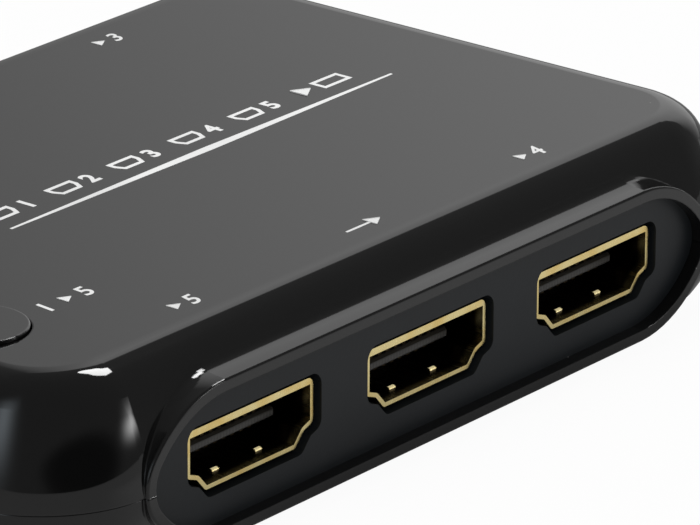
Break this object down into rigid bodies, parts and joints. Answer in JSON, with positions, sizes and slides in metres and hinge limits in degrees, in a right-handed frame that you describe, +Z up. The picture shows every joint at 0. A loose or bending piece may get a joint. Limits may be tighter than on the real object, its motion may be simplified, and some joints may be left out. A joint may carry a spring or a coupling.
{
  "type": "video switch box",
  "caption": "Low gloss black video switch box with rounded corners, recessed socket bays at front and back, gold rimmed sockets and a round push button on top.",
  "frame": {"origin": "centre of the feet's ground plane under the case", "axes": "+X along the socket row to the right seen from the front, -Y out of the front sockets, +Z up"},
  "size_m": [0.0882, 0.0596, 0.0169],
  "materials": {
    "gloss_shell": "gloss black moulded plastic",
    "gloss_button": "gloss black moulded plastic",
    "satin_panel": "fine satin dark grey",
    "board": "green solder mask",
    "gold_plate": "bright gold plating",
    "contact_gold": "bright gold plating",
    "socket_plastic": "black moulded plastic",
    "dark_plastic": "black moulded plastic",
    "bright_metal": "bright tinned metal",
    "clear_plastic": "clear moulded plastic",
    "light_body": "pale moulded plastic",
    "chip_plastic": "black moulded epoxy",
    "can_metal": "bare drawn can",
    "screw_steel": "zinc plated",
    "foot_rubber": "matt black"
  },
  "bodies": {
    "case": {"top_shell": "gloss_shell", "bottom_shell": "gloss_shell", "front_panel": "satin_panel", "rear_panel": "satin_panel", "circuit_board": "board", "front_shell_1": "gold_plate", "front_shell_2": "gold_plate", "front_shell_3": "gold_plate", "rear_shell_1": "gold_plate", "rear_shell_2": "gold_plate", "rear_shell_3": "gold_plate", "front_core_1": "socket_plastic", "front_core_2": "socket_plastic", "front_core_3": "socket_plastic", "rear_core_1": "socket_plastic", "rear_core_2": "socket_plastic", "rear_core_3": "socket_plastic", "front_contacts_1": "contact_gold", "front_contacts_2": "contact_gold", "front_contacts_3": "contact_gold", "rear_contacts_1": "contact_gold", "rear_contacts_2": "contact_gold", "rear_contacts_3": "contact_gold", "switch_base": "dark_plastic", "switch_cover": "bright_metal", "light_guide": "clear_plastic", "light_1": "light_body", "light_2": "light_body", "light_3": "light_body", "light_4": "light_body", "light_5": "light_body", "power_jack_housing": "dark_plastic", "power_jack_pin": "bright_metal", "power_jack_spring": "bright_metal", "switch_chip": "chip_plastic", "equaliser_chip": "chip_plastic", "regulator_chip": "chip_plastic", "crystal": "bright_metal", "capacitor_1": "can_metal", "capacitor_2": "can_metal", "inductor": "chip_plastic", "resistor_bank": "chip_plastic", "screw_1": "screw_steel", "screw_2": "screw_steel", "screw_3": "screw_steel", "screw_4": "screw_steel", "foot_1": "foot_rubber", "foot_2": "foot_rubber", "foot_3": "foot_rubber", "foot_4": "foot_rubber"},
    "button": {"push_button": "gloss_button", "switch_plunger": "dark_plastic"}
  },
  "joints": [
    {"name": "button_press", "type": "slide", "parent": "case", "child": "button", "axis": [0, 0, -1], "range_m": [0, 0.0005], "stiffness_N_per_m": 2500}
  ]
}
